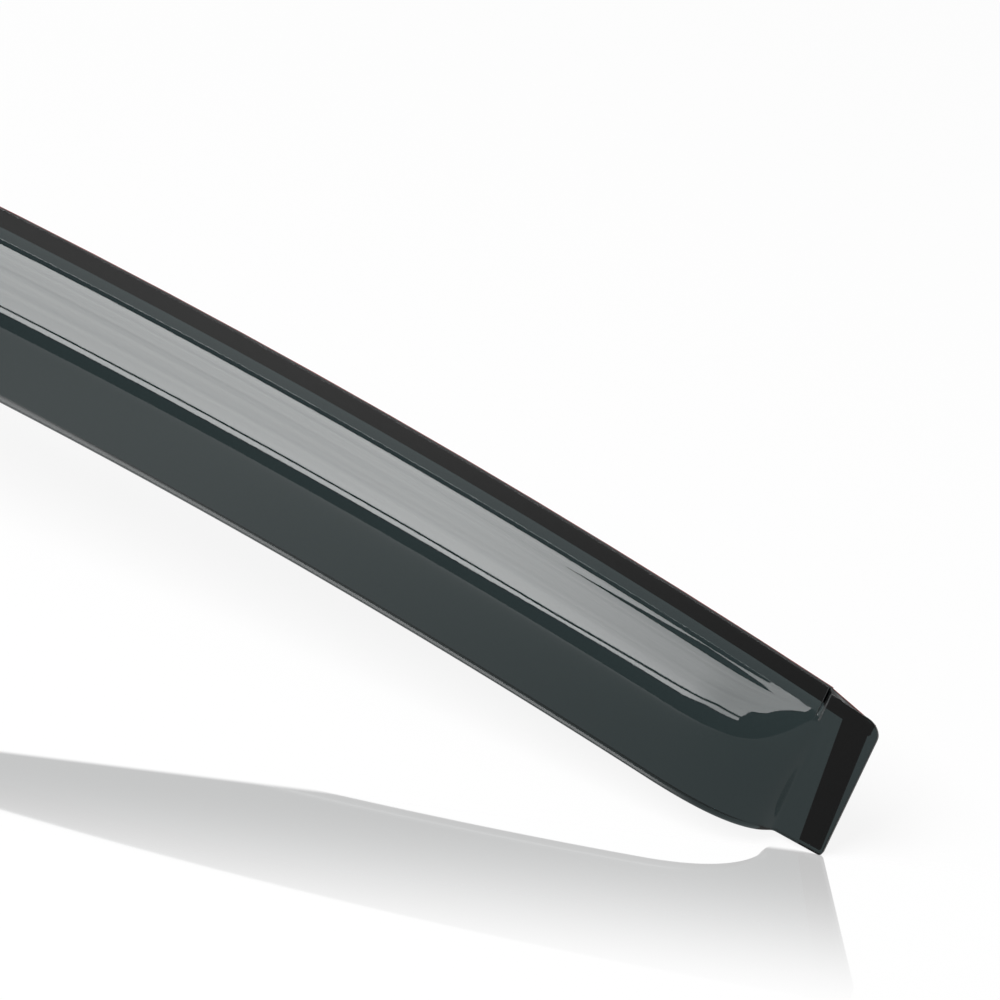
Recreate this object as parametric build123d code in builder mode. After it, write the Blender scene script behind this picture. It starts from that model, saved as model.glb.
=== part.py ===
from build123d import *
from math import cos, degrees, radians, sin
import os

# A smoked acrylic rain deflector for a car's side window: one formed sheet with a flat flange along
# its top edge, a bulged face below it, a flat tab at one end and a tapered tip at the other, held by
# foam tape. X runs along the door towards the tab, Y points at the door and Z is up. The origin lies
# in the plane that is bonded to the door, in the middle of the top tape.

# Sheet
length = 660.0  # along the top edge, from the tip to the end of the tab
height = 78.2  # from the top edge down to the foot of the tab
sheet = 3.0  # thickness of the acrylic
top_edge_radius = 2900.0  # the top edge follows the door frame's gentle arch

# Section of the bulge, outward from the flange and down from the top edge
flange = 12.8  # depth of the flange, down to the bend
flange_edge = 1.2  # thickness left at the feathered top edge
bend_run = 1.4  # how far the rounded bend reaches on each side of its corner
shoulder_angle = 70.0  # slope of the shoulder off the bend, in degrees from vertical
shoulder_handle = 8.0
crown_reach = 17.0  # the crown stands this far in front of the flange
crown_drop = 36.2  # and lies this far below the top edge
crown_angle = 17.0
crown_handle = 9.0
face_handle = 8.0
lip_handle = 12.0
lip_reach = 21.2  # the face's lower end stands this far in front of the flange
lip_angle = 1.0
lip_drop = 76.0  # the lip lies this far below the top edge
lip_rise = 4.5  # height of the rounded turn into the lip
lip_run = 4.6  # width of the turned-in lip

# End of the bulge at the tab, along the sheet
end_run = 57.0  # length over which the bulge rises from the tab to its full reach
end_foot_handle = 2.0
end_crown_handle = 57.0
end_lead = 0.5  # length of full section that leads the rise smoothly into the middle
end_steps = 10

# End of the bulge at the tip
tip_flat = 26.0  # flat part of the tip
tip_height = 30.0
nose_depth = 7.0  # the tip's end is one arc, and the corners it takes off are this long
tip_run = 200.0  # length over which the bulge and the height grow from the tip
tip_foot_handle = 45.0
tip_crown_handle = 110.0
tip_steps = 9

# Outline of the tab, past the bulge's end
tab_length = 21.6  # along its top edge
tab_foot = 21.3  # along its lower edge
tab_step = 0.5  # its top edge lies this far below the flange's
tab_rise = 2.2  # its lower edge rises this much towards its end
tab_radius = 7.5
tab_corner = 1.5

# Groove between the flange and the tab
groove_place = 5.0  # its middle lies this far before the bulge's end
groove_width = 2.1  # at the top edge
groove_foot = 1.4  # at its lower end
groove_length = 16.8  # measured from the flange's top edge
groove_web = 1.2  # sheet left behind the groove

# Mounting tape and its release film
tape_width = 8.0
tape_thickness = 1.1
tape_inset = 0.6  # from the top edge of the sheet
film = 0.1
film_overhang = 0.2
tip_margin = 8.0  # bare sheet past the end of the top tape
tab_tape_drop = 9.7  # lower edge of the tab's top tape, below the flange's top edge
tab_tape_fall = 3.8  # its upper edge falls this much towards the tab's end
tab_tape_margin = 4.0  # bare sheet past its end
side_tape_start = 4.6  # from the bulge's end, at the top of the side tape
side_tape_width = 12.0
side_tape_foot_start = 9.7  # and at its foot
side_tape_foot_width = 9.7
side_tape_margin = 1.4  # bare sheet below the side tape

# Derived places
bond_gap = tape_thickness + film
top_edge = tape_inset + tape_width / 2
tip_place = -length / 2
end_place = length / 2 - tab_length
middle_start = tip_place + tip_flat + tip_run
middle_end = end_place - end_run - end_lead
middle_turn = degrees((middle_end - middle_start) / top_edge_radius)
nose_radius = (tip_height**2 / 4 + nose_depth**2) / (2 * nose_depth)
arch_axis = Axis((0, 0, top_edge - top_edge_radius), (0, 1, 0))


def top_point(place, below=0.0):
    """X and Z at a place along the top edge's arc, and a depth below it."""
    angle = place / top_edge_radius
    radius = top_edge_radius - below
    return radius * sin(angle), top_edge - top_edge_radius + radius * cos(angle)


def along_arch(place):
    """Direction of the top edge's arc at a place along it."""
    angle = place / top_edge_radius
    return cos(angle), 0, -sin(angle)


def section_plane(place):
    """Plane of one section: local x points outward and local y points down the sheet."""
    x, z = top_point(place)
    return Plane(origin=(x, -bond_gap, z), x_dir=(0, -1, 0), z_dir=along_arch(place))


def slope(angle):
    """Unit step down a face that leans outward by this angle from vertical."""
    return Vector(sin(radians(angle)), cos(radians(angle)))


def outer_points(bulge, drop):
    """Control points of a section's outer side, from the top edge to the end of the lip."""
    corner = Vector(sheet, flange)
    bend_out = corner + slope(shoulder_angle) * bend_run
    crown = Vector(sheet + crown_reach, crown_drop)
    lip = Vector(sheet + lip_reach, lip_drop - lip_rise)
    turn_drop = lip_drop - (1 - bulge) * lip_rise / 2
    lip_turn = Vector(lip.X + lip_rise * sin(radians(lip_angle)), turn_drop)
    points = [
        Vector(sheet, 0),
        Vector(sheet, flange - bend_run),
        corner,
        bend_out,
        bend_out + slope(shoulder_angle) * shoulder_handle,
        crown - slope(crown_angle) * crown_handle,
        crown,
        crown + slope(crown_angle) * face_handle,
        lip - slope(lip_angle) * lip_handle,
        lip,
        lip_turn,
        Vector(lip_turn.X - lip_run, lip_drop),
    ]
    share = (drop - flange) / (lip_drop - flange)
    return [
        Vector(sheet + bulge * (p.X - sheet), p.Y if p.Y < flange else flange + share * (p.Y - flange))
        for p in points
    ]


def inner_points(points):
    """The same control points, moved inward by the sheet's thickness along both their legs."""
    legs = [(after - before).normalized() for before, after in zip(points, points[1:])]
    normals = [Vector(-leg.Y, leg.X) for leg in legs]
    pairs = zip([normals[0]] + normals, normals + [normals[-1]])
    shifts = [(one + two) * (sheet / (1 + one.dot(two))) for one, two in pairs]
    return [point + shift for point, shift in zip(points, shifts)]


def blend(share, run, foot_handle, crown_handle):
    """Place and bulge along an end, at a share of a cubic curve that is level at both ends."""
    rest = 1 - share
    crown = run - crown_handle
    place = 3 * share * rest**2 * foot_handle + 3 * share**2 * rest * crown + share**3 * run
    return place, 3 * share**2 * rest + share**3


def section_face(place, bulge, drop):
    """Closed section at a place. Its edges are kept apart, so that every section has as many."""
    outer = outer_points(bulge, drop)
    inner = inner_points(outer)
    outer[0] = Vector(flange_edge, 0)
    back = inner[::-1]
    edges = [
        Edge.make_line(outer[0], outer[1]),
        Edge.make_bezier(*outer[1:4]),
        Edge.make_bezier(*outer[3:7]),
        Edge.make_bezier(*outer[6:10]),
        Edge.make_bezier(*outer[9:12]),
        Edge.make_line(outer[11], back[0]),
        Edge.make_bezier(*back[0:3]),
        Edge.make_bezier(*back[2:6]),
        Edge.make_bezier(*back[5:9]),
        Edge.make_bezier(*back[8:11]),
        Edge.make_line(back[10], back[11]),
        Edge.make_line(back[11], outer[0]),
    ]
    return section_plane(place) * Face(Wire(edges))


# Places along each end at which the section is drawn, with the share of the bulge and the height there
tip_stations = [(tip_place, 0.0, tip_height)]
for step in range(tip_steps + 1):
    along, bulge = blend(step / tip_steps, tip_run, tip_foot_handle, tip_crown_handle)
    drop = tip_height + bulge * (lip_drop - tip_height)
    tip_stations.append((tip_place + tip_flat + along, bulge, drop))
end_stations = [(middle_end, 1.0, lip_drop)]
for step in range(end_steps, -1, -1):
    along, bulge = blend(step / end_steps, end_run, end_foot_handle, end_crown_handle)
    end_stations.append((end_place - along, bulge, height + bulge * (lip_drop - height)))

tip_middle = section_plane(tip_place).from_local_coords((0, tip_height / 2))
tip_plane = Plane(origin=tip_middle, x_dir=along_arch(tip_place), z_dir=(0, -1, 0))
tab_plane = Plane(
    origin=section_plane(end_place).origin,
    x_dir=along_arch(end_place),
    z_dir=(0, -1, 0),
)

with BuildPart() as visor_shell:
    loft(sections=[section_face(*station) for station in tip_stations])
    revolve(
        profiles=section_face(middle_start, 1.0, lip_drop),
        axis=arch_axis,
        revolution_arc=middle_turn,
    )
    loft(sections=[section_face(*station) for station in end_stations])
    with BuildSketch(tip_plane):
        with Locations((nose_radius, 0)):
            Rectangle(2 * nose_radius, 2 * tip_height, align=(Align.MAX, Align.CENTER))
            Circle(nose_radius, mode=Mode.SUBTRACT)
    extrude(amount=2 * sheet, both=True, mode=Mode.SUBTRACT)
    with BuildSketch(tab_plane):
        with BuildLine():
            Polyline(
                (-groove_place, -tab_step),
                (tab_length, -tab_step),
                (tab_foot, tab_rise - height),
                (0, -height),
                (0, bend_run - flange),
                (-groove_place, bend_run - flange),
                close=True,
            )
        make_face()
        fillet(vertices().sort_by(Axis.X)[-1], tab_radius)
        fillet(vertices().sort_by(SortBy.DISTANCE)[-1], tab_corner)
    extrude(amount=sheet)
    with BuildSketch(tab_plane.offset(groove_web)):
        with BuildLine():
            Polyline(
                (-groove_place - groove_width / 2, sheet),
                (-groove_place + groove_width / 2, sheet),
                (-groove_place + groove_foot / 2, -groove_length),
                (-groove_place - groove_foot / 2, -groove_length),
                close=True,
            )
        make_face()
    extrude(amount=2 * sheet, mode=Mode.SUBTRACT)


def tab_point(along, up):
    """X and Z of a point on the tab, from the bulge's end along and up the tab's own axes."""
    point = tab_plane.from_local_coords((along, up))
    return point.X, point.Z


def top_strip(start, upper, lower):
    """Outline of a strip along the top edge, from a place near the tip to the groove's middle."""
    middle = (start + end_place) / 2
    tip_upper, tip_lower = top_point(start, upper), top_point(start, lower)
    end_upper, end_lower = tab_point(-groove_place, -upper), tab_point(-groove_place, -lower)
    ThreePointArc(tip_upper, top_point(middle, upper), end_upper)
    Line(end_upper, end_lower)
    ThreePointArc(end_lower, top_point(middle, lower), tip_lower)
    Line(tip_lower, tip_upper)


def tab_top_strip(overhang):
    """Outline of the tape along the top of the tab, or of its film with an overhang."""
    end = tab_length - tab_tape_margin + overhang
    upper = overhang - tab_step - tape_inset
    points = [
        (-groove_place, upper),
        (end, upper - tab_tape_fall),
        (end, -tab_tape_drop),
        (-groove_place, -tab_tape_drop),
    ]
    Polyline(*[tab_point(*point) for point in points], close=True)


def tab_side_strip(overhang):
    """Outline of the tape down the tab, or of its film with an overhang."""
    foot_left = side_tape_foot_start - overhang
    foot_right = side_tape_foot_start + side_tape_foot_width + overhang
    foot = side_tape_margin - overhang - height
    points = [
        (side_tape_start - overhang, -tab_tape_drop),
        (side_tape_start + side_tape_width + overhang, -tab_tape_drop),
        (foot_right, foot + tab_rise * foot_right / tab_foot),
        (foot_left, foot + tab_rise * foot_left / tab_foot),
    ]
    Polyline(*[tab_point(*point) for point in points], close=True)


tape_plane = Plane.XZ.offset(film)
tape_lower = tape_inset + tape_width

with BuildPart() as top_tape:
    with BuildSketch(tape_plane):
        with BuildLine():
            top_strip(tip_place + tip_margin, tape_inset, tape_lower)
        make_face()
    extrude(amount=tape_thickness)

with BuildPart() as top_tape_liner:
    with BuildSketch(Plane.XZ):
        with BuildLine():
            top_strip(
                tip_place + tip_margin - film_overhang,
                tape_inset - film_overhang,
                tape_lower + film_overhang,
            )
        make_face()
    extrude(amount=film)

with BuildPart() as tab_top_tape:
    with BuildSketch(tape_plane):
        with BuildLine():
            tab_top_strip(0)
        make_face()
    extrude(amount=tape_thickness)

with BuildPart() as tab_top_liner:
    with BuildSketch(Plane.XZ):
        with BuildLine():
            tab_top_strip(film_overhang)
        make_face()
    extrude(amount=film)

with BuildPart() as tab_side_tape:
    with BuildSketch(tape_plane):
        with BuildLine():
            tab_side_strip(0)
        make_face()
    extrude(amount=tape_thickness)

with BuildPart() as tab_side_liner:
    with BuildSketch(Plane.XZ):
        with BuildLine():
            tab_side_strip(film_overhang)
        make_face()
    extrude(amount=film)

visor_shell.part.label = "visor_shell"
top_tape.part.label = "top_tape"
top_tape_liner.part.label = "top_tape_liner"
tab_top_tape.part.label = "tab_top_tape"
tab_top_liner.part.label = "tab_top_liner"
tab_side_tape.part.label = "tab_side_tape"
tab_side_liner.part.label = "tab_side_liner"

pieces = [
    visor_shell,
    top_tape,
    top_tape_liner,
    tab_top_tape,
    tab_top_liner,
    tab_side_tape,
    tab_side_liner,
]
os.makedirs("parts", exist_ok=True)
for piece in pieces:
    export_step(piece.part, f"parts/{piece.part.label}.step")
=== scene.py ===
from math import cos, pi, radians, sin, sqrt

import bmesh
import bpy
import numpy as np
from mathutils import Matrix, Vector


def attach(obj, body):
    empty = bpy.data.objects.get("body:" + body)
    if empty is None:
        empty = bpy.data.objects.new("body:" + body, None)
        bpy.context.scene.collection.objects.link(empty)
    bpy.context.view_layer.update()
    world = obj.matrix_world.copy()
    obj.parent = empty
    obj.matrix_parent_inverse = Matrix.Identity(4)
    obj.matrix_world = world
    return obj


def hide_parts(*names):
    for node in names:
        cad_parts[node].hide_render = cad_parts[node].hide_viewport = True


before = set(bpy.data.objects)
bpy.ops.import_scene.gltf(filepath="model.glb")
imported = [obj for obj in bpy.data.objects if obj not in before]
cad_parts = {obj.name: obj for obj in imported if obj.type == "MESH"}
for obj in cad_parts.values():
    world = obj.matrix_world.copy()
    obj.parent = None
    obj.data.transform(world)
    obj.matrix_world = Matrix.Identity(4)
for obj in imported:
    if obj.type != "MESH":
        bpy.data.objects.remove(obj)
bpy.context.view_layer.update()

# A smoked acrylic rain deflector for a car's side window, in metres. X runs along the door towards the
# end tab, Y points at the door and Z is up. The sheet is a dense mesh that follows the CAD sheet's
# section, with rounded edges and a sharper bend. The tapes and films keep their CAD solids.

# Sheet
length = 0.66
height = 0.0782
sheet = 0.003
top_edge_radius = 2.9
top_edge = 0.0046
bond_gap = 0.0012
contact = 0.00002  # the sheet's back reaches this far into the tape, so that no air shows between them

# Section of the bulge, outward from the flange and down from the top edge
flange = 0.0128
flange_edge = 0.0012
flange_thinning = 0.0005  # how much thinner the flange still is at the bend
bend_fade = 0.0026  # depth over which the sheet regains its thickness below the bend
bend_run = 0.0001
shoulder_angle = 70.0
shoulder_handle = 0.008
crown_reach = 0.017
crown_drop = 0.0362
crown_angle = 17.0
crown_handle = 0.009
face_handle = 0.008
lip_handle = 0.012
lip_reach = 0.0212
lip_angle = 1.0
lip_drop = 0.076
lip_rise = 0.0045
lip_run = 0.0046

# Ends of the bulge
end_run = 0.057
end_foot_handle = 0.006
end_crown_handle = 0.057
end_corner_run = 0.01  # the bulge's top corner at the tab is rounded along this run
end_corner_fall = 0.01
slope_run = 0.00005  # half the run over which the end's slope is taken
tip_inside = 0.00001  # the tip's mesh stays this far inside its solid's outline
tip_flat = 0.026
tip_height = 0.03
nose_depth = 0.007
nose_start = 0.12  # share of the nose's half turn at which its mesh starts
tip_run = 0.2
tip_foot_handle = 0.045
tip_crown_handle = 0.11

# Tab, and the groove between it and the flange
tab_length = 0.0216
tab_foot = 0.0213
tab_step = 0.0005
tab_rise = 0.0022
tab_radius = 0.0075
tab_corner = 0.0015
tab_inside = 0.00002  # the tab's mesh stays this far inside its solid's outline
tab_bevel = 0.0023  # the tab's back top edge is bevelled by this much, away from the groove
tab_bevel_run = 0.0135
tab_top_fade = 0.014  # depth over which the rows take up the tab's top outline
tab_foot_fade = 0.03
groove_place = 0.005
groove_width = 0.0021
groove_foot = 0.0014
groove_length = 0.0168
groove_cut = 0.0008  # the floor's depth below the flange's and the tab's faces
groove_ramp = 0.55  # share of the groove's length after which its floor rises
groove_reach = 0.0016  # from the groove's middle past its rounded edges
groove_floor_places = (0.95, 0.5, 0)  # columns of the floor, as shares of the groove's half width

# Rounded edges
top_front_radius = 0.00003
tab_front_radius = 0.00035
groove_radius = 0.00035
top_back_radius = 0.0001
lip_radius = 0.0005
side_radius = 0.0005
side_clear = 0.00055  # no plain column comes nearer than this to the tab's rounded end
sharp_angle = 40.0  # degrees over which an edge isn't shaded smooth

# Columns and rows of the mesh
nose_count = 10
tip_count = 6
rise_count = 36
middle_count = 44
end_count = 44
rim_count = 5
foot_count = 14
tab_count = 16
tab_corner_count = 12
tab_edge_count = 6
corner_points = 4
end_curve_points = 400
flange_rows = np.array([0, 0.09, 0.2, 0.35, 0.5, 0.65, 0.8, 0.9, 1])
bend_rows = np.linspace(0, 1, 7)
shoulder_rows = np.linspace(0, 1, 25)
face_rows = np.linspace(0, 1, 17)
lip_rows = np.linspace(0, 1, 11)

# Derived places
tip_place = -length / 2 + tip_inside
end_place = length / 2 - tab_length
middle_start = tip_place + tip_flat + tip_run
middle_end = end_place - end_run
nose_radius = (tip_height**2 / 4 + nose_depth**2) / (2 * nose_depth)


def slope(angle):
    """Unit step down a face that leans outward by this angle from vertical."""
    return np.array([sin(radians(angle)), cos(radians(angle))])


def outer_points(bulge, drop, fold=flange):
    """Control points of a section's outer side, as outward reach and depth below the top edge."""
    corner = np.array([sheet, flange])
    bend_out = corner + slope(shoulder_angle) * bend_run
    crown = np.array([sheet + crown_reach, crown_drop])
    lip = np.array([sheet + lip_reach, lip_drop - lip_rise])
    turn_drop = lip_drop - (1 - bulge) * lip_rise / 2
    lip_turn = np.array([lip[0] + lip_rise * sin(radians(lip_angle)), turn_drop])
    points = np.array([
        [sheet, 0],
        [sheet, flange - bend_run],
        corner,
        bend_out,
        bend_out + slope(shoulder_angle) * shoulder_handle,
        crown - slope(crown_angle) * crown_handle,
        crown,
        crown + slope(crown_angle) * face_handle,
        lip - slope(lip_angle) * lip_handle,
        lip,
        lip_turn,
        [lip_turn[0] - lip_run, lip_drop],
    ])
    share = (drop - fold) / (lip_drop - flange)
    points[:, 0] = sheet + bulge * (points[:, 0] - sheet)
    below = points[:, 1] > flange
    points[below, 1] = fold + share * (points[below, 1] - flange)
    points[~below, 1] *= fold / flange
    return points


def inner_points(points):
    """The same control points, moved inward by the sheet's thickness along both their legs."""
    legs = np.diff(points, axis=0)
    legs /= np.linalg.norm(legs, axis=1)[:, None]
    normals = np.column_stack([-legs[:, 1], legs[:, 0]])
    one = np.vstack([normals[:1], normals])
    two = np.vstack([normals, normals[-1:]])
    return points + (one + two) * (sheet / (1 + (one * two).sum(1)))[:, None]


def bezier(points, shares):
    """Points of a Bezier curve at the given values of its parameter, from 0 to 1."""
    rows = [np.outer(np.ones_like(shares), point) for point in points]
    while len(rows) > 1:
        rows = [a * (1 - shares[:, None]) + b * shares[:, None] for a, b in zip(rows, rows[1:])]
    return rows[0]


def sample(points):
    """Rows down one side of a section, from the top edge to the end of the lip."""
    return np.vstack([
        bezier(points[0:2], flange_rows),
        bezier(points[1:4], bend_rows)[1:],
        bezier(points[3:7], shoulder_rows)[1:],
        bezier(points[6:10], face_rows)[1:],
        bezier(points[9:12], lip_rows)[1:],
    ])


def smooth(share):
    """Smooth step from 0 to 1."""
    share = np.clip(share, 0, 1)
    return share * share * (3 - 2 * share)


def feather(depth):
    """How much the flange is thinned, most at its top edge and a little up to the bend."""
    share = np.clip(depth / (flange - bend_run), 0, 1)
    past = smooth((depth - flange + bend_run) / bend_fade)
    return (sheet - flange_edge) * (1 - share) + flange_thinning * share * (1 - past)


def blend(share, run, foot_handle, crown_handle):
    """Place and bulge along an end, at a share of a cubic curve that is level at both ends."""
    rest = 1 - share
    place = 3 * share * rest**2 * foot_handle + 3 * share**2 * rest * (run - crown_handle) + share**3 * run
    return place, 3 * share**2 * rest + share**3


end_shares = np.linspace(0, 1, end_curve_points)
end_places, end_bulges = blend(end_shares, end_run, end_foot_handle, end_crown_handle)


def end_drop(bulge):
    """Depth of the sheet's lower edge along the bulge's end, from the lip to the tab's foot."""
    return height + bulge * (lip_drop - height)


def rounded(before, corner, after, radius):
    """Points that round a corner of a section."""
    to_before = (before - corner) / np.linalg.norm(before - corner)
    to_after = (after - corner) / np.linalg.norm(after - corner)
    shares = np.linspace(0, 1, corner_points)[:, None]
    return corner + radius * ((1 - shares) ** 2 * to_before + shares**2 * to_after)


def section_loop(front, back, top_radius=top_front_radius):
    """Closed outline of a section through its front and back rows, with its four corners rounded."""
    return np.vstack([
        rounded(back[0], front[0], front[1], top_radius),
        front[1:-1],
        rounded(front[-2], front[-1], back[-1], lip_radius),
        rounded(front[-1], back[-1], back[-2], lip_radius),
        back[-2:0:-1],
        rounded(back[1], back[0], front[0], top_back_radius),
    ])


def on_arch(places, loop):
    """Points in space of a section's outline, at places along the arch."""
    angle = places / top_edge_radius
    radius = top_edge_radius - loop[:, 1]
    x = radius * np.sin(angle)
    z = top_edge - top_edge_radius + radius * np.cos(angle)
    return np.column_stack([x, contact - bond_gap - loop[:, 0], z])


def on_tab(along, loop):
    """Points in space of an outline past the bulge's end, on the tab's own straight axes."""
    start = on_arch(end_place, loop)
    angle = end_place / top_edge_radius
    start[:, 0] += along * cos(angle)
    start[:, 2] -= along * sin(angle)
    return start


def nose_columns():
    """Outlines round the tip's end, which is one arc."""
    widest = np.arcsin(tip_height / 2 / nose_radius)
    for turn in np.linspace(nose_start, 1, nose_count) * widest:
        half = nose_radius * sin(turn)
        along = nose_radius * (1 - cos(turn))
        flat = outer_points(0, tip_height)
        front, back = sample(flat), sample(inner_points(flat))
        for rows in (front, back):
            rows[:, 1] = tip_height / 2 + (2 * rows[:, 1] / tip_height - 1) * half
        front[:, 0] -= feather(front[:, 1])
        yield on_arch(tip_place + along, section_loop(front, back))


def bulge_column(place, bulge, drop):
    """Outline of one section of the bulge."""
    outer = outer_points(bulge, drop)
    front, back = sample(outer), sample(inner_points(outer))
    front[:, 0] -= feather(front[:, 1])
    return on_arch(place, section_loop(front, back))


def tip_columns():
    """Outlines along the flat tip and the rise of the bulge."""
    for along in np.linspace(nose_depth, tip_flat, tip_count)[1:-1]:
        yield bulge_column(tip_place + along, 0, tip_height)
    for share in np.linspace(0, 1, rise_count):
        along, bulge = blend(share, tip_run, tip_foot_handle, tip_crown_handle)
        drop = tip_height + bulge * (lip_drop - tip_height)
        yield bulge_column(tip_place + tip_flat + along, bulge, drop)


def middle_columns():
    """Outlines along the middle, where the section stays the same."""
    for place in np.linspace(middle_start, middle_end, middle_count)[1:-1]:
        yield bulge_column(place, 1, lip_drop)


def end_points(along):
    """Control points of a section at a distance before the bulge's end."""
    bulge = np.interp(along, end_places, end_bulges)
    inside = np.clip(1 - along / end_corner_run, 0, 1)
    fold = flange + end_corner_fall * (1 - sqrt(1 - inside**2))
    return outer_points(bulge, end_drop(bulge), fold)


def end_rows(along):
    """Front and back rows of such a section. The third value is a row's shift along the deflector.

    The back's shift keeps the wall's thickness where the bulge's end is steep.
    """
    points = end_points(along)
    front, back = sample(points), sample(inner_points(points))
    through = front - back
    thickness = np.linalg.norm(through, axis=1)
    before, after = end_points(max(along - slope_run, 0)), end_points(along + slope_run)
    climb = sample(after) - sample(before)
    tilt = np.arctan(np.sum(climb * through, axis=1) / thickness / (2 * slope_run))
    back = front - through * np.cos(tilt)[:, None]
    shift = -thickness * np.sin(tilt)
    return np.column_stack([front, np.zeros_like(shift)]), np.column_stack([back, shift])


def end_columns():
    """Outlines down the bulge's end, up to the groove."""
    last = np.interp(groove_place + groove_reach, end_places, end_shares)
    for share in np.linspace(1, last, end_count):
        along = blend(share, end_run, end_foot_handle, end_crown_handle)[0]
        front, back = end_rows(along)
        front[:, 0] -= feather(front[:, 1])
        loop = section_loop(front, back)
        yield on_arch(end_place - along + loop[:, 2], loop)


def tab_outline(rows, top, bottom):
    """Rows moved to the tab's top and bottom outline."""
    rows = rows.copy()
    depth = rows[:, 1].copy()
    rows[:, 1] += top * np.clip(1 - depth / tab_top_fade, 0, 1)
    rows[:, 1] -= (height - bottom) * np.clip((depth - height) / tab_foot_fade + 1, 0, 1)
    return rows


def bevel(along):
    """How far the back top edge lies below the front one, along the tab."""
    return tab_bevel * np.clip((along + groove_place) / tab_bevel_run, 0, 1)


def groove_profile():
    """Columns across the groove: each one's place as a share of the half width, and its depth."""
    rims = []
    for turn in np.linspace(0, pi / 2, rim_count):
        side = 1 + (1 - sin(turn)) * groove_radius / (groove_width / 2)
        rims.append((side, groove_radius * (1 - cos(turn))))
    half = rims + [(side, sheet) for side in groove_floor_places]
    return [(-side, cut) for side, cut in half] + half[-2::-1]


def groove_columns():
    """Outlines across the groove, from the flange's side to the tab's, over its rounded edges."""
    for side, cut in groove_profile():
        wide, wide_back = end_rows(groove_place - side * groove_width / 2)
        slim, slim_back = end_rows(groove_place - side * groove_foot / 2)
        narrowing = np.clip(wide[:, 1] / groove_length, 0, 1)[:, None]
        front = wide + narrowing * (slim - wide)
        back = wide_back + narrowing * (slim_back - wide_back)
        thinned = feather(front[:, 1])
        share = np.clip((side + 1) / 2, 0, 1)
        lowest = front[:, 0] - (1 - share) * thinned - groove_cut
        if side < 0:
            front[:, 0] -= thinned
        else:
            front = tab_outline(front, tab_step, height)
            back = tab_outline(back, tab_step, height)
        depth = front[:, 1] / groove_length
        rise = smooth((depth - groove_ramp) / (1 - groove_ramp))
        lowest = np.minimum(front[:, 0], lowest + rise * (front[:, 0] - lowest))
        front[:, 0] = np.where(depth < 1, np.maximum(front[:, 0] - cut, lowest), front[:, 0])
        loop = section_loop(front, back)
        width = groove_width + (groove_foot - groove_width) * np.clip(loop[:, 1] / groove_length, 0, 1)
        yield on_arch(end_place - groove_place + side * width / 2 + loop[:, 2], loop)


def foot_columns():
    """Outlines between the groove and the bulge's end, where the flange has the tab's full thickness."""
    first = np.interp(groove_place - groove_reach, end_places, end_shares)
    for share in np.linspace(first, 0, foot_count):
        along = blend(share, end_run, end_foot_handle, end_crown_handle)[0]
        front, back = end_rows(along)
        front = tab_outline(front, tab_step, height)
        back = tab_outline(back, tab_step + bevel(-along), height)
        loop = section_loop(front, back, tab_front_radius)
        yield on_arch(end_place - along + loop[:, 2], loop)


def tab_columns():
    """Outlines along the tab, round its corners and over its rounded end."""
    flat_end = tab_length - tab_radius
    corner_turns = np.linspace(0, pi / 2, tab_corner_count)[1:-1]
    edge_turns = np.linspace(0, pi / 2, tab_edge_count)
    places = list(np.linspace(0, flat_end, tab_count)[1:])
    places += [flat_end + tab_radius * sin(turn) for turn in corner_turns]
    places = [place for place in places if place < tab_length - side_clear]
    places += [tab_length - side_radius * (1 - sin(turn)) for turn in edge_turns]
    for along in places:
        past = max(0, along - flat_end)
        top = tab_step + tab_radius - sqrt(max(0, tab_radius**2 - past**2))
        past_foot = max(0, along - (tab_length - tab_corner))
        bottom = height - tab_inside - tab_rise * along / tab_length
        bottom -= tab_corner - sqrt(max(0, tab_corner**2 - past_foot**2))
        near_end = np.clip((along - (tab_length - side_radius)) / side_radius, 0, 1)
        trim = side_radius * (1 - sqrt(1 - near_end**2))
        outer = outer_points(0, height)
        front = tab_outline(sample(outer), top, bottom)
        back = tab_outline(sample(inner_points(outer)), top + bevel(along), bottom)
        front[:, 0] -= trim
        back[:, 0] += trim
        loop = section_loop(front, back, tab_front_radius)
        lean = 1 - (1 - tab_foot / tab_length) * loop[:, 1] / height
        yield on_tab(along * lean * (1 - tab_inside / tab_length), loop)


def visor_mesh():
    """The formed sheet as one closed mesh, with the groove's cut edges as its second material."""
    columns = [*nose_columns(), *tip_columns(), *middle_columns(), *end_columns()]
    groove_start = len(columns)
    columns += groove_columns()
    groove_end = len(columns)
    columns += [*foot_columns(), *tab_columns()]
    size = len(columns[0])
    faces = []
    for start in range(0, (len(columns) - 1) * size, size):
        for row in range(size):
            after = (row + 1) % size
            faces.append((start + row, start + after, start + size + after, start + size + row))
    for start in (0, (len(columns) - 1) * size):
        for row in range(size // 2 - 1):
            faces.append((start + row, start + row + 1, start + size - 2 - row, start + size - 1 - row))
    mesh = bpy.data.meshes.new("visor_sheet")
    mesh.from_pydata(np.vstack(columns).tolist(), [], faces)
    strips = rim_count - 1
    rims = [*range(groove_start, groove_start + strips), *range(groove_end - strips, groove_end)]
    rim_rows = np.count_nonzero(sample(end_points(groove_place))[:, 1] < groove_length)
    for column in rims:
        for row in range(rim_rows):
            mesh.polygons[column * size + row].material_index = 1
    shape = bmesh.new()
    shape.from_mesh(mesh)
    bmesh.ops.recalc_face_normals(shape, faces=shape.faces)
    shape.to_mesh(mesh)
    shape.free()
    mesh.shade_smooth()
    mesh.set_sharp_from_angle(angle=radians(sharp_angle))
    return mesh


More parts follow.
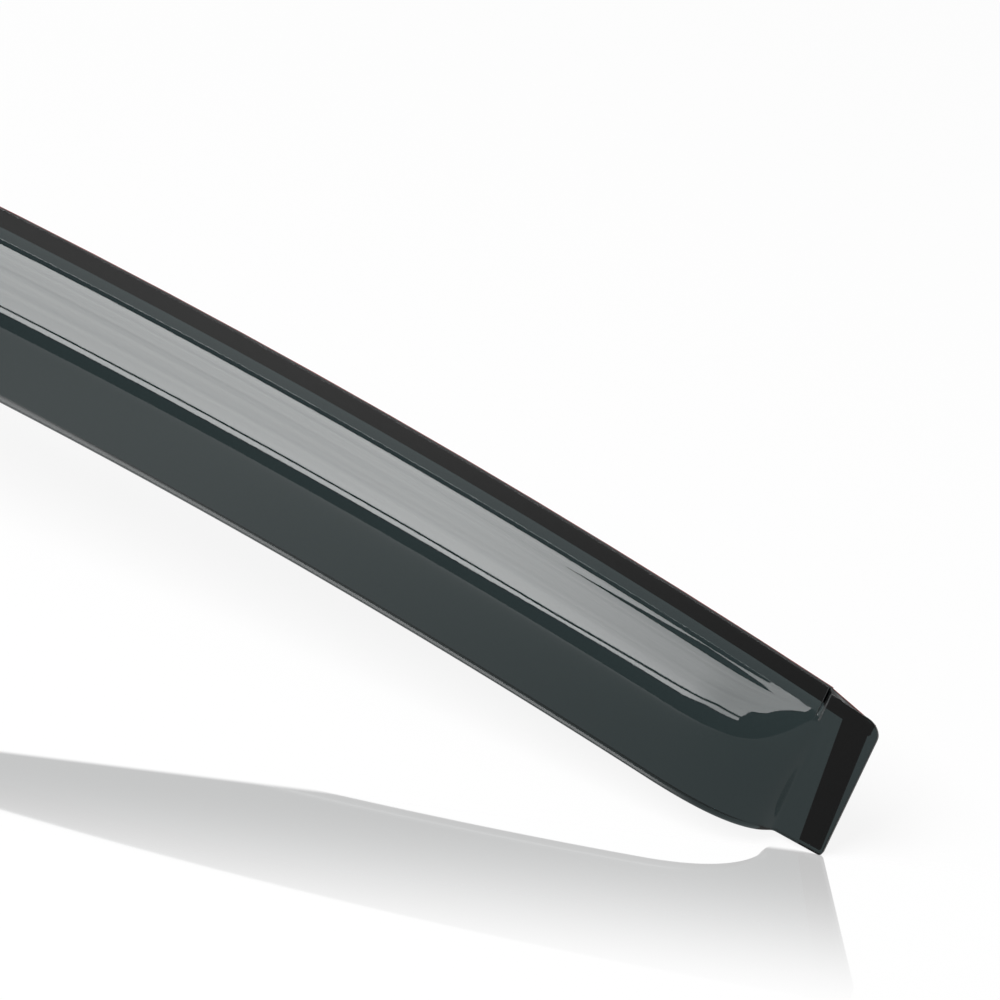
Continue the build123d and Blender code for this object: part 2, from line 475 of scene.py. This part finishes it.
# Materials. A pair of colours or values is spread over a noise texture.
noise_spread = (0.3, 0.7)  # most of a noise texture's values lie between these
acrylic_ior = 1.49
acrylic_tint = (0.0639, 0.0842, 0.0863, 1)  # three quarters of the smoke lie at the sheet's faces
depth_density = 277.8  # and the rest in its depth
depth_color = (0.0, 0.1, 0.109, 1)
acrylic_roughness = (0.012, 0.035)
wave_height = 0.00001
peel_height = 0.0000003
cut_colors = ((0.02, 0.022, 0.0225, 1), (0.042, 0.045, 0.046, 1))
cut_roughness = (0.45, 0.6)
foam_colors = ((0.011, 0.011, 0.012, 1), (0.03, 0.03, 0.031, 1))
foam_roughness = (0.75, 0.95)
foam_cell_height = 0.00012
film_colors = ((0.24, 0.03, 0.032, 1), (0.36, 0.05, 0.048, 1))
film_roughness = (0.18, 0.34)
film_wrinkle_height = 0.00015


def new_material(name):
    """An empty node material, with its nodes, its links and its output."""
    material = bpy.data.materials.new(name)
    material.use_nodes = True
    nodes = material.node_tree.nodes
    nodes.clear()
    output = nodes.new("ShaderNodeOutputMaterial")
    return material, nodes, material.node_tree.links, output


def noise(nodes, links, place, scale, detail, roughness=0.5):
    """A noise texture over the given places."""
    node = nodes.new("ShaderNodeTexNoise")
    node.inputs["Scale"].default_value = scale
    node.inputs["Detail"].default_value = detail
    node.inputs["Roughness"].default_value = roughness
    links.new(place, node.inputs["Vector"])
    return node.outputs["Fac"]


def remap(nodes, links, value, spread):
    """A texture's values, moved to a range."""
    node = nodes.new("ShaderNodeMapRange")
    node.inputs["From Min"].default_value = noise_spread[0]
    node.inputs["From Max"].default_value = noise_spread[1]
    node.inputs["To Min"].default_value = spread[0]
    node.inputs["To Max"].default_value = spread[1]
    links.new(value, node.inputs["Value"])
    return node.outputs["Result"]


def mixed_color(nodes, links, value, colors):
    """A colour between two, by a texture."""
    node = nodes.new("ShaderNodeValToRGB")
    for element, place, color in zip(node.color_ramp.elements, noise_spread, colors):
        element.position = place
        element.color = color
    links.new(value, node.inputs["Fac"])
    return node.outputs["Color"]


def bump(nodes, links, heights, distance, strength=1.0, under=None):
    """A bump of the given height in metres, laid over another."""
    node = nodes.new("ShaderNodeBump")
    node.inputs["Strength"].default_value = strength
    node.inputs["Distance"].default_value = distance
    links.new(heights, node.inputs["Height"])
    if under:
        links.new(under, node.inputs["Normal"])
    return node.outputs["Normal"]


def acrylic_material():
    """Polished smoked acrylic, with a faint waviness, a finer peel and an uneven gloss."""
    material, nodes, links, output = new_material("smoked_acrylic")
    place = nodes.new("ShaderNodeTexCoord").outputs["Object"]
    surface = nodes.new("ShaderNodeBsdfPrincipled")
    surface.inputs["Base Color"].default_value = acrylic_tint
    surface.inputs["Transmission Weight"].default_value = 1.0
    surface.inputs["IOR"].default_value = acrylic_ior
    haze = noise(nodes, links, place, scale=60, detail=6.0, roughness=0.65)
    links.new(remap(nodes, links, haze, acrylic_roughness), surface.inputs["Roughness"])
    waves = noise(nodes, links, place, scale=28, detail=1.0)
    peel = noise(nodes, links, place, scale=700, detail=2.0)
    normal = bump(nodes, links, waves, wave_height)
    normal = bump(nodes, links, peel, peel_height, under=normal)
    links.new(normal, surface.inputs["Normal"])
    depth = nodes.new("ShaderNodeVolumeAbsorption")
    depth.inputs["Color"].default_value = depth_color
    depth.inputs["Density"].default_value = depth_density
    links.new(surface.outputs["BSDF"], output.inputs["Surface"])
    links.new(depth.outputs["Volume"], output.inputs["Volume"])
    return material


def cut_material():
    """Matt dark grey of the acrylic where the groove's edges are cut."""
    material, nodes, links, output = new_material("cut_acrylic")
    place = nodes.new("ShaderNodeTexCoord").outputs["Object"]
    surface = nodes.new("ShaderNodeBsdfPrincipled")
    marks = noise(nodes, links, place, scale=1500, detail=2.0)
    links.new(mixed_color(nodes, links, marks, cut_colors), surface.inputs["Base Color"])
    links.new(remap(nodes, links, marks, cut_roughness), surface.inputs["Roughness"])
    links.new(surface.outputs["BSDF"], output.inputs["Surface"])
    return material


def foam_material():
    """Black closed-cell foam tape, with its cells as fine bump."""
    material, nodes, links, output = new_material("foam_tape")
    place = nodes.new("ShaderNodeTexCoord").outputs["Object"]
    surface = nodes.new("ShaderNodeBsdfPrincipled")
    cells = nodes.new("ShaderNodeTexVoronoi")
    cells.inputs["Scale"].default_value = 2600
    links.new(place, cells.inputs["Vector"])
    cloud = noise(nodes, links, place, scale=240, detail=5.0)
    links.new(mixed_color(nodes, links, cloud, foam_colors), surface.inputs["Base Color"])
    links.new(remap(nodes, links, cloud, foam_roughness), surface.inputs["Roughness"])
    normal = bump(nodes, links, cells.outputs["Distance"], foam_cell_height, strength=0.6)
    links.new(normal, surface.inputs["Normal"])
    links.new(surface.outputs["BSDF"], output.inputs["Surface"])
    return material


def film_material():
    """Red release film, smooth, with faint wrinkles and a slightly uneven tint."""
    material, nodes, links, output = new_material("release_film")
    place = nodes.new("ShaderNodeTexCoord").outputs["Object"]
    surface = nodes.new("ShaderNodeBsdfPrincipled")
    tint = noise(nodes, links, place, scale=35, detail=3.0)
    links.new(mixed_color(nodes, links, tint, film_colors), surface.inputs["Base Color"])
    rub = noise(nodes, links, place, scale=420, detail=6.0, roughness=0.7)
    links.new(remap(nodes, links, rub, film_roughness), surface.inputs["Roughness"])
    wrinkles = noise(nodes, links, place, scale=90, detail=4.0)
    normal = bump(nodes, links, wrinkles, film_wrinkle_height, strength=0.5)
    links.new(normal, surface.inputs["Normal"])
    links.new(surface.outputs["BSDF"], output.inputs["Surface"])
    return material


def dress():
    """The sheet's mesh in place of its CAD solid, and materials on the tapes and films."""
    acrylic, foam, film = acrylic_material(), foam_material(), film_material()
    visor = bpy.data.objects.new("visor_sheet", visor_mesh())
    visor.data.materials.append(acrylic)
    visor.data.materials.append(cut_material())
    bpy.context.scene.collection.objects.link(visor)
    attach(visor, "root")
    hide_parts("visor_shell")
    for name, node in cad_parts.items():
        if name.endswith("tape"):
            node.material_slots[0].material = foam
        if name.endswith("liner"):
            node.material_slots[0].material = film


# Camera, set by the photograph's view
camera_distance = 4.0
camera_lens = 347.5
camera_sensor = 36.0
camera_sees = 100.0  # far enough for the whole stage
camera_back = Vector((0.2815, -0.7578, 0.5886))
camera_right = Vector((0.8436, 0.4878, 0.2246))
camera_aim = Vector((0.15, -0.01, -0.035))
aim_right = 0.00246  # the image's middle lies this far to the right of the aim
aim_up = 0.02935

# Stage. Panels and cards are seen only in gloss. Panels' edges are pairs of x and elevation in degrees.
floor_up = Vector((-0.155, -0.07, 0.98)).normalized()  # the deflector leans over its tab's foot
floor_place = Vector((0.3257, -0.0025, -0.0896))  # where the tab's foot meets the floor
floor_radius = 1.25
floor_corners = 96
floor_color = (0.9, 0.9, 0.9, 1)
floor_own_light = 0.88  # share of the floor's white that shadows don't touch
mirror_turn = -7.4  # degrees from the camera's right to the line along which the floor's mirror starts
mirror_share = 0.45
mirror_edge = (0.002, 0.005)  # the mirror starts between these distances behind the tab's foot
mirror_depth = 0.1  # the floor's mirror fades out over this depth
mirror_roughness = 0.03
lamp_place = Vector((-0.5, -1.5, 2.2))
lamp_size = 1.5
lamp_power = 80.0
world_fill = 0.3
studio_middle = Vector((0.1, 0.0, -0.03))
panel_radius = 3.0
panel_left = -1.5
panel_right = 0.52
panel_strength = (8.9, 4.6)  # at the left and at the right of the ramp
panel_ramp = (-0.7, 0.1)
panel_low = (
    (-1.5, 5.0),
    (-0.9, 7.4),
    (-0.5, 9.4),
    (-0.3, 13.8),
    (0.0, 15.4),
    (0.34, 12.4),
    (0.36, 19.5),
    (0.52, 21.0),
)
panel_high = 90.0
panel_columns = 60
panel_rows = 24
fold_stretch = (0.35, 1.6, 1.6)  # the cloth's soft folds run along X
fold_spread = (0.86, 1.1)
one_mirror = 1.5  # a ray's glossy depth is under this at its first mirror
strip_gap = 1.7  # degrees of dark between the panel and the strip below it
strip_right = 0.34
strip_columns = 50
strip_low = ((-1.5, -1.0), (-0.94, 1.2), (-0.6, 3.6), (-0.42, 7.0), (-0.11, 10.4), (0.34, 8.4))
slot_radius = 2.97  # dark slot high in the panel, just in front of it
slot_low = 66.0
slot_high = ((-0.36, 66.6), (-0.25, 76.0), (-0.11, 89.0), (-0.04, 86.0), (0.05, 79.0), (0.13, 66.6))
slot_columns = 40
surround_radius = 3.2  # black cloth behind the panel
surround_left = -2.2
surround_right = 8.0
surround_low = -40.0
surround_high = 125.0
surround_columns = 9
# The floor card is a glow that paints the floor's reflection: painted shade beside the tab, painted light
# under the lip.
card_lift = 0.002  # the card lies this far over the floor
card_light = (0.92, 1.2)  # near the deflector and far in front of it
card_ramp = (0.5, 1.2)
card_dim = 0.3  # share of that light beside the tab
card_dim_ramp = (-0.5, 0.02)
bounce = 2.6  # the floor's extra light close under the lip
bounce_start = (0.3, 0.9)  # it starts between these distances from the lip, in the lip's own heights
bounce_end = (1.35, 1.55)  # and stops between these
bounce_ramp = (-0.1, -0.055)  # places along X between which it fades, before the tab
lip_away = 0.02  # the lip stands this far in front of the tab's foot
lip_height = 0.003  # its height over the floor beside the tab's foot
lip_climb = -0.205  # and the rise of that height for each metre towards the tab
lip_least = 0.004  # least height that is used


def link_stage(name, mesh, material):
    """A stage object that isn't part of the deflector."""
    thing = bpy.data.objects.new(name, mesh)
    mesh.materials.append(material)
    bpy.context.scene.collection.objects.link(thing)
    return thing


def gloss_only(thing):
    """Hides a card from all but reflections."""
    thing.visible_camera = False
    thing.visible_diffuse = False
    thing.visible_transmission = False
    thing.visible_shadow = False


def math_node(nodes, links, kind, one, two):
    """Two values joined by a kind of arithmetic, each a number or a socket."""
    node = nodes.new("ShaderNodeMath")
    node.operation = kind
    for socket, value in zip(node.inputs, (one, two)):
        if isinstance(value, float):
            socket.default_value = value
        else:
            links.new(value, socket)
    return node.outputs["Value"]


def ramp(nodes, links, value, places, levels):
    """A value that goes smoothly from one level to another between two places."""
    node = nodes.new("ShaderNodeMapRange")
    node.interpolation_type = "SMOOTHSTEP"
    node.inputs["From Min"].default_value = places[0]
    node.inputs["From Max"].default_value = places[1]
    node.inputs["To Min"].default_value = levels[0]
    node.inputs["To Max"].default_value = levels[1]
    links.new(value, node.inputs["Value"])
    return node.outputs["Result"]


def own_axes(nodes, links):
    """The object's own coordinates, apart."""
    split = nodes.new("ShaderNodeSeparateXYZ")
    links.new(nodes.new("ShaderNodeTexCoord").outputs["Object"], split.inputs["Vector"])
    return split.outputs


def seen_ray(nodes, links):
    """1 for camera, glossy and transmission rays, otherwise 0."""
    path = nodes.new("ShaderNodeLightPath").outputs
    near = math_node(nodes, links, "ADD", path["Is Camera Ray"], path["Is Glossy Ray"])
    both = math_node(nodes, links, "ADD", near, path["Is Transmission Ray"])
    return math_node(nodes, links, "MINIMUM", both, 1.0)


def mixed(nodes, links, share, one, two):
    """Two shaders mixed by a share of the second."""
    node = nodes.new("ShaderNodeMixShader")
    links.new(share, node.inputs["Fac"])
    links.new(one, node.inputs[1])
    links.new(two, node.inputs[2])
    return node.outputs["Shader"]


def seen_from_above(nodes, links, shader, output):
    """Gives a material this shader on its upper side, and makes it clear from below."""
    clear = nodes.new("ShaderNodeBsdfTransparent").outputs["BSDF"]
    under = nodes.new("ShaderNodeNewGeometry").outputs["Backfacing"]
    links.new(mixed(nodes, links, under, shader, clear), output.inputs["Surface"])


def floor_material():
    """White floor that keeps the shadow and mirrors the deflector faintly in front of it."""
    material, nodes, links, output = new_material("floor")
    diffuse = nodes.new("ShaderNodeBsdfDiffuse")
    diffuse.inputs["Color"].default_value = floor_color
    glow = nodes.new("ShaderNodeEmission")
    gloss = nodes.new("ShaderNodeBsdfGlossy")
    gloss.inputs["Color"].default_value = (1, 1, 1, 1)
    gloss.inputs["Roughness"].default_value = mirror_roughness
    own = math_node(nodes, links, "MULTIPLY", seen_ray(nodes, links), floor_own_light)
    white = mixed(nodes, links, own, diffuse.outputs["BSDF"], glow.outputs["Emission"])
    along = own_axes(nodes, links)["Y"]
    behind = ramp(nodes, links, along, mirror_edge, (mirror_share, 0.0))
    front = ramp(nodes, links, along, (-mirror_depth, 0.0), (0.0, 1.0))
    share = math_node(nodes, links, "MULTIPLY", behind, front)
    top = mixed(nodes, links, share, white, gloss.outputs["BSDF"])
    seen_from_above(nodes, links, top, output)
    return material


def make_disc(name, along, level, material):
    """Round sheet on the floor, at a level over it, with its own X along the given direction."""
    axes = Matrix((along, floor_up.cross(along), floor_up)).transposed().to_4x4()
    turns = np.linspace(0, 2 * pi, floor_corners, endpoint=False)
    rim = [(floor_radius * cos(turn), floor_radius * sin(turn), level) for turn in turns]
    mesh = bpy.data.meshes.new(name)
    mesh.from_pydata(rim, [], [tuple(range(len(rim)))])
    disc = link_stage(name, mesh, material)
    disc.matrix_world = Matrix.Translation(floor_place) @ axes
    return disc


def on_floor(direction):
    """A direction laid flat on the floor."""
    return (direction - direction.dot(floor_up) * floor_up).normalized()


def make_floor():
    """Round floor, seen from above only."""
    along = Matrix.Rotation(radians(mirror_turn), 3, floor_up) @ on_floor(camera_right)
    make_disc("floor", along, 0.0, floor_material())


def lip_bounce(nodes, links, along, away):
    """Extra light of the floor close under the lip, at places along the card and in front of its middle."""
    climb = math_node(nodes, links, "MULTIPLY", along, lip_climb)
    tall = math_node(nodes, links, "ADD", climb, lip_height)
    tall = math_node(nodes, links, "MAXIMUM", tall, lip_least)
    near = math_node(nodes, links, "SUBTRACT", away, lip_away)
    near = math_node(nodes, links, "DIVIDE", near, tall)
    start = ramp(nodes, links, near, bounce_start, (0.0, bounce))
    end = ramp(nodes, links, near, bounce_end, (1.0, 0.0))
    before_tab = ramp(nodes, links, along, bounce_ramp, (1.0, 0.0))
    return math_node(nodes, links, "MULTIPLY", math_node(nodes, links, "MULTIPLY", start, end), before_tab)


def card_material():
    """Painted reflection of the floor in the deflector, as a glow: painted shade towards the tab, painted
    light close under the lip.
    """
    material, nodes, links, output = new_material("floor_card")
    axes = own_axes(nodes, links)
    away = math_node(nodes, links, "MULTIPLY", axes["Y"], -1.0)
    far = ramp(nodes, links, away, card_ramp, card_light)
    dim = ramp(nodes, links, axes["X"], card_dim_ramp, (1.0, card_dim))
    plain = math_node(nodes, links, "MULTIPLY", far, dim)
    lit = lip_bounce(nodes, links, axes["X"], away)
    glow = nodes.new("ShaderNodeEmission")
    links.new(math_node(nodes, links, "ADD", plain, lit), glow.inputs["Strength"])
    seen_from_above(nodes, links, glow.outputs["Emission"], output)
    return material


def make_card():
    """Glowing card on the floor that paints the floor's reflection in the deflector, seen from above only.
    """
    along = on_floor(Vector((1, 0, 0)))
    gloss_only(make_disc("floor_card", along, card_lift, card_material()))


def arc_panel(name, radius, edges, material):
    """A panel bent round the deflector. Each edge gives x, and its lower and upper elevation in degrees."""
    points = []
    for x, low, high in edges:
        for turn in np.radians(np.linspace(low, high, panel_rows)):
            step = Vector((x - studio_middle.x, -radius * cos(turn), radius * sin(turn)))
            points.append(studio_middle + step)
    faces = []
    for column in range(len(edges) - 1):
        for row in range(panel_rows - 1):
            start = column * panel_rows + row
            faces.append((start, start + 1, start + panel_rows + 1, start + panel_rows))
    mesh = bpy.data.meshes.new(name)
    mesh.from_pydata(points, [], faces)
    gloss_only(link_stage(name, mesh, material))


def panel_material():
    """Softbox cloth, brighter at the left, with faint folds, and not seen by way of the floor's mirror."""
    material, nodes, links, output = new_material("softbox")
    across = own_axes(nodes, links)["X"]
    level = ramp(nodes, links, across, panel_ramp, panel_strength)
    stretch = nodes.new("ShaderNodeMapping")
    stretch.inputs["Scale"].default_value = fold_stretch
    links.new(nodes.new("ShaderNodeTexCoord").outputs["Object"], stretch.inputs["Vector"])
    folds = noise(nodes, links, stretch.outputs["Vector"], scale=1.4, detail=2.0)
    cloth = math_node(nodes, links, "MULTIPLY", level, remap(nodes, links, folds, fold_spread))
    mirrors = nodes.new("ShaderNodeLightPath").outputs["Glossy Depth"]
    once = math_node(nodes, links, "LESS_THAN", mirrors, one_mirror)
    glow = nodes.new("ShaderNodeEmission")
    links.new(math_node(nodes, links, "MULTIPLY", cloth, once), glow.inputs["Strength"])
    links.new(glow.outputs["Emission"], output.inputs["Surface"])
    return material


def dark_material():
    """Black cloth."""
    material, nodes, links, output = new_material("black_cloth")
    glow = nodes.new("ShaderNodeEmission")
    glow.inputs["Strength"].default_value = 0
    links.new(glow.outputs["Emission"], output.inputs["Surface"])
    return material


def along_edge(edge, places):
    """Elevations of a panel's edge at places along it."""
    return np.interp(places, [x for x, angle in edge], [angle for x, angle in edge])


def make_panels():
    """Softbox with a strip of light below it, a dark slot high in it, and black cloth behind."""
    cloth, dark = panel_material(), dark_material()
    places = np.linspace(panel_left, panel_right, panel_columns)
    places = np.unique([*places, *(x for x, angle in panel_low)])
    lows = along_edge(panel_low, places)
    arc_panel("softbox", panel_radius, [(x, low, panel_high) for x, low in zip(places, lows)], cloth)
    places = np.linspace(panel_left, strip_right, strip_columns)
    lows, highs = along_edge(strip_low, places), along_edge(panel_low, places) - strip_gap
    arc_panel("softbox_strip", panel_radius, list(zip(places, lows, highs)), cloth)
    places = np.linspace(slot_high[0][0], slot_high[-1][0], slot_columns)
    highs = along_edge(slot_high, places)
    arc_panel("softbox_slot", slot_radius, [(x, slot_low, high) for x, high in zip(places, highs)], dark)
    places = np.linspace(surround_left, surround_right, surround_columns)
    arc_panel("black_cloth", surround_radius, [(x, surround_low, surround_high) for x in places], dark)


def make_lamp():
    """One large soft lamp above the front, which lights the floor and matt surfaces and isn't mirrored."""
    data = bpy.data.lights.new("lamp", "AREA")
    data.size = lamp_size
    data.energy = lamp_power
    lamp = bpy.data.objects.new("lamp", data)
    turn = lamp_place.to_track_quat("Z", "Y").to_matrix().to_4x4()
    lamp.matrix_world = Matrix.Translation(lamp_place) @ turn
    lamp.visible_camera = False
    lamp.visible_glossy = False
    lamp.visible_transmission = False
    bpy.context.scene.collection.objects.link(lamp)


def make_world():
    """White surroundings where they are seen, and a low fill light elsewhere."""
    world = bpy.data.worlds.new("studio")
    bpy.context.scene.world = world
    world.use_nodes = True
    nodes, links = world.node_tree.nodes, world.node_tree.links
    nodes.clear()
    output = nodes.new("ShaderNodeOutputWorld")
    background = nodes.new("ShaderNodeBackground")
    background.inputs["Color"].default_value = (1, 1, 1, 1)
    level = nodes.new("ShaderNodeMapRange")
    level.inputs["To Min"].default_value = world_fill
    level.inputs["To Max"].default_value = 1.0
    links.new(seen_ray(nodes, links), level.inputs["Value"])
    links.new(level.outputs["Result"], background.inputs["Strength"])
    links.new(background.outputs["Background"], output.inputs["Surface"])


def make_camera():
    """Camera at the photograph's viewing angle."""
    back = camera_back.normalized()
    up = back.cross(camera_right).normalized()
    right = up.cross(back)
    camera = bpy.data.objects.new("camera", bpy.data.cameras.new("camera"))
    camera.data.sensor_width = camera_sensor
    camera.data.lens = camera_lens
    camera.data.clip_end = camera_sees
    axes = Matrix((right, up, back)).transposed().to_4x4()
    spot = camera_aim + aim_right * right + aim_up * up + camera_distance * back
    camera.matrix_world = Matrix.Translation(spot) @ axes
    bpy.context.scene.collection.objects.link(camera)
    bpy.context.scene.camera = camera


dress()
make_floor()
make_card()
make_panels()
make_lamp()
make_world()
make_camera()
bpy.context.scene.view_settings.view_transform = "Standard"
